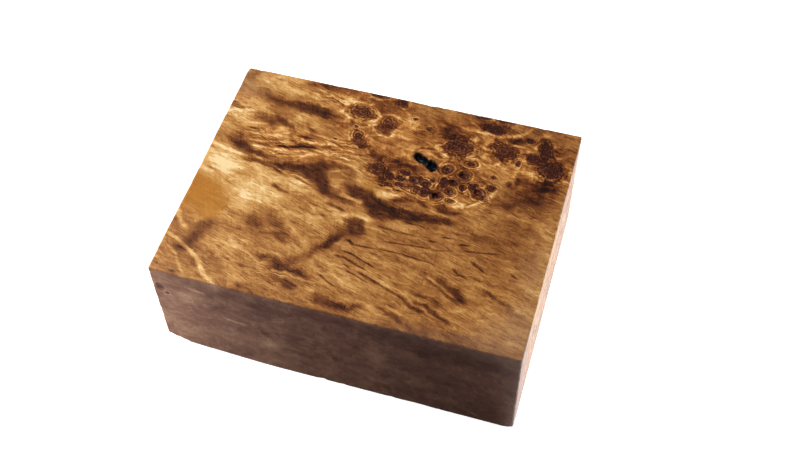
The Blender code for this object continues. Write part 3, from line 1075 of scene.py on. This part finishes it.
def cut_back(point, corner, reach):
    """Brings a point that stands outside a cut across a corner back onto the cut, which is a little rough."""
    inwards = Vector([1 / part for part in reach])
    outside = 1 - (point - corner).dot(inwards)
    if outside <= 0:
        return point
    depth = outside / inwards.length
    rough = CUT_ROUGHNESS * (1 + noise.noise(point * CUT_GRAIN)) * min(1.0, depth)
    return point + inwards.normalized() * (depth + rough)


def hollow_depth(point, hollow):
    """How deep one hollow of the top face is under a point."""
    x, y, half_length, half_width, turn, depth = hollow
    local = Matrix.Rotation(-math.radians(turn), 2) @ Vector((point.x - x, point.y - y))
    spread = (local.x / half_length) ** 2 + (local.y / half_width) ** 2
    spread += RIM_RAGGEDNESS * noise.noise(point * RIM_GRAIN)
    if spread >= 1:
        return 0.0
    rough = 1 + FLOOR_ROUGHNESS * noise.noise(point * FLOOR_GRAIN)
    return depth * (1 - spread * abs(spread)) * rough


def edge_nicks():
    """Small bruises along the block's edges: where each is, how wide and how deep."""
    chance = random.Random(NICK_SEED)
    low, high = SAWN_BOX
    nicks = list(PLACED_NICKS)
    for axis in range(3):
        sides = [i for i in range(3) if i != axis]
        for ends in ((low, low), (low, high), (high, low), (high, high)):
            for _ in range(round((high[axis] - low[axis]) / NICK_SPACING)):
                spot = Vector((0, 0, 0))
                spot[axis] = chance.uniform(low[axis], high[axis])
                for side, end in zip(sides, ends):
                    spot[side] = end[side]
                nicks.append((spot, chance.uniform(*NICK_WIDTHS), chance.uniform(*NICK_DEPTHS)))
    return nicks


def near_edge(point):
    """Whether a point lies close to at least two faces of the block, which is where nicks are."""
    close = 0
    for part, low, high in zip(point, *SAWN_BOX):
        close += min(part - low, high - part) < NICK_ZONE
    return close > 1


def figured_block(material):
    """The block itself: rounded and bruised edges, a worn corner, saw ripples, and open bark and knots."""
    low, high = SAWN_BOX
    lines = (grid_lines(low.x, high.x, FINE_X), grid_lines(low.y, high.y, FINE_Y), grid_lines(low.z, high.z))
    points, faces = block_net(lines)
    nicks = edge_nicks()
    middle = (low + high) / 2
    dimples = [(*knot, KNOT_DIMPLE) for knot in PIN_KNOTS]
    shaped = []
    for point in points:
        wear = max(0.0, noise.noise(point * WEAR_GRAIN))
        place = rounded(point, ARRIS_ROUND + ARRIS_WEAR * wear)
        if near_edge(point):
            for spot, width, depth in nicks:
                away = (point - spot).length
                if away < width:
                    place = place + (middle - point).normalized() * depth * (1 - away / width)
        for corner, reach in WORN_CORNERS:
            place = cut_back(place, corner, reach)
        if point.z == high.z:
            sunk = 0.0
            if FINE_X[0] < point.x < FINE_X[1] and FINE_Y[0] < point.y < FINE_Y[1]:
                sunk = max(hollow_depth(point, hollow) for hollow in (*HOLLOWS, *dimples))
            place = place - Vector((0, 0, sunk))
        elif low.z < point.z and not near_edge(point):
            ripple = math.sin((point.z + SAW_LEAN * (point.x + point.y)) * math.tau / SAW_PITCH)
            inwards = Vector((middle.x - point.x, 0, 0))
            if point.y in (low.y, high.y):
                inwards = Vector((0, middle.y - point.y, 0))
            place = place + inwards.normalized() * SAW_DEPTH * (1 + ripple)
        shaped.append(place * MM)
    mesh = bpy.data.meshes.new("figured_block")
    mesh.from_pydata(shaped, [], faces)
    mesh.materials.append(material)
    mesh.shade_smooth()
    mesh.set_sharp_from_angle(angle=SHARP_ANGLE)
    piece = bpy.data.objects.new("figured_block", mesh)
    bpy.context.scene.collection.objects.link(piece)
    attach(piece, "root")
    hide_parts(BLOCK_NODE)


# The floor as the camera sees it and as light bounces off it.
WHITE = (1.0, 1.0, 1.0)
FLOOR_SIZE = 6.0
PAPER = (0.8, 0.8, 0.8, 1.0)
PAPER_GLOW = 0.8
BOUNCE = (0.3, 0.3, 0.3, 1.0)

# The floor glows only in reflections, brightest right of the block, which puts a painted reflection on the
# block's right face; the camera never sees this glow. How bright it is, from one span left of the block's middle
# to one span right of it.
REFLECTED_GLOW_SPAN = 0.1
REFLECTED_GLOW = ((0.10, 0.25), (0.45, 0.05), (0.78, 0.02), (0.81, 1.0), (1.0, 1.0))
REFLECTED_GLOW_STRENGTH = 3.4


def pale_floor():
    bpy.ops.mesh.primitive_plane_add(size=FLOOR_SIZE, location=(0, 0, BLOCK_LOW.z))
    floor = bpy.context.object
    floor.name = "floor"
    material = bpy.data.materials.new("pale_floor")
    material.use_nodes = True
    material.node_tree.nodes.clear()
    figure = Figure(material.node_tree)
    seen = figure.node("ShaderNodeLightPath")
    bounce = figure.shader("ShaderNodeBsdfDiffuse", BOUNCE)
    paper = figure.shader("ShaderNodeBsdfDiffuse", PAPER)
    glow = figure.shader("ShaderNodeEmission", (*WHITE, 1.0), PAPER_GLOW)
    lit_paper = figure.shader("ShaderNodeAddShader", paper, glow)
    place = figure.node("ShaderNodeTexCoord")
    parts = figure.node("ShaderNodeSeparateXYZ")
    figure.feed(parts.inputs[0], place.outputs["Object"])
    along = figure.ease(parts.outputs[0], -REFLECTED_GLOW_SPAN, REFLECTED_GLOW_SPAN, kind="LINEAR")
    reflected_glow = figure.ramp(along, [(spot, (level, level, level, 1.0)) for spot, level in REFLECTED_GLOW])
    reflected_glow_shader = figure.shader("ShaderNodeEmission", reflected_glow, REFLECTED_GLOW_STRENGTH)
    unseen = figure.shader("ShaderNodeMixShader", seen.outputs["Is Glossy Ray"], bounce, reflected_glow_shader)
    look = figure.shader("ShaderNodeMixShader", seen.outputs["Is Camera Ray"], unseen, lit_paper)
    surface = figure.node("ShaderNodeOutputMaterial")
    figure.feed(surface.inputs["Surface"], look)
    floor.data.materials.append(material)


# Light from all round: how far the change from front to back runs, and how bright it is at either end.
SKY_SPAN = (-0.4, 0.5)
SKY_BRIGHTNESS = (0.04, 0.5)
BLUISH = (0.76, 0.90, 1.0)

# Soft lights: name, place, the spot it is aimed at, its two sides in metres, watts and colour.
SOFT_LIGHTS = (
    ("key", (-0.62, 0.12, 0.80), (0, 0, 0), (0.6, 0.6), 9.9, WHITE),
    ("left", (-0.15, -0.080, 0.04), (-0.03, -0.045, 0.02), (0.06, 0.06), 0.22, WHITE),
    ("right", (0.22, 0.0, 0.035), (0.06, 0.0, 0.01), (0.08, 0.05), 0.27, BLUISH),
)


def soft_light(name, place, aim, size, power, colour):
    data = bpy.data.lights.new(name, "AREA")
    data.color = colour
    data.shape = "RECTANGLE"
    data.size = size[0]
    data.size_y = size[1]
    data.energy = power
    light = bpy.data.objects.new(name, data)
    light.location = place
    light.rotation_euler = (Vector(aim) - Vector(place)).to_track_quat("-Z", "Y").to_euler()
    light.visible_camera = False
    bpy.context.scene.collection.objects.link(light)


def studio_light():
    world = bpy.data.worlds.new("studio")
    world.use_nodes = True
    sky = Figure(world.node_tree)
    background = world.node_tree.nodes["Background"]
    direction = sky.node("ShaderNodeTexCoord")
    parts = sky.node("ShaderNodeSeparateXYZ")
    sky.feed(parts.inputs[0], direction.outputs["Generated"])
    brighter = sky.ease(parts.outputs[1], *SKY_SPAN, *SKY_BRIGHTNESS, kind="LINEAR")
    seen = sky.node("ShaderNodeLightPath")
    strength = sky.math("MAXIMUM", brighter, seen.outputs["Is Camera Ray"])
    sky.feed(background.inputs["Strength"], strength)
    background.inputs["Color"].default_value = (*WHITE, 1.0)
    bpy.context.scene.world = world
    for light in SOFT_LIGHTS:
        soft_light(*light)


def camera():
    data = bpy.data.cameras.new("camera")
    data.lens = CAMERA_LENS
    data.shift_x = CAMERA_SHIFT[0]
    data.shift_y = CAMERA_SHIFT[1]
    data.clip_start = 0.01
    seen = bpy.data.objects.new("camera", data)
    turn = (
        Matrix.Rotation(CAMERA_HEADING, 3, "Z")
        @ Matrix.Rotation(math.pi / 2 - CAMERA_TILT, 3, "X")
        @ Matrix.Rotation(CAMERA_ROLL, 3, "Z")
    )
    seen.location = CAMERA_PLACE
    seen.rotation_euler = turn.to_euler()
    bpy.context.scene.collection.objects.link(seen)
    bpy.context.scene.camera = seen


figured_block(burl_wood())
pale_floor()
studio_light()
camera()
bpy.context.scene.view_settings.view_transform = "Standard"
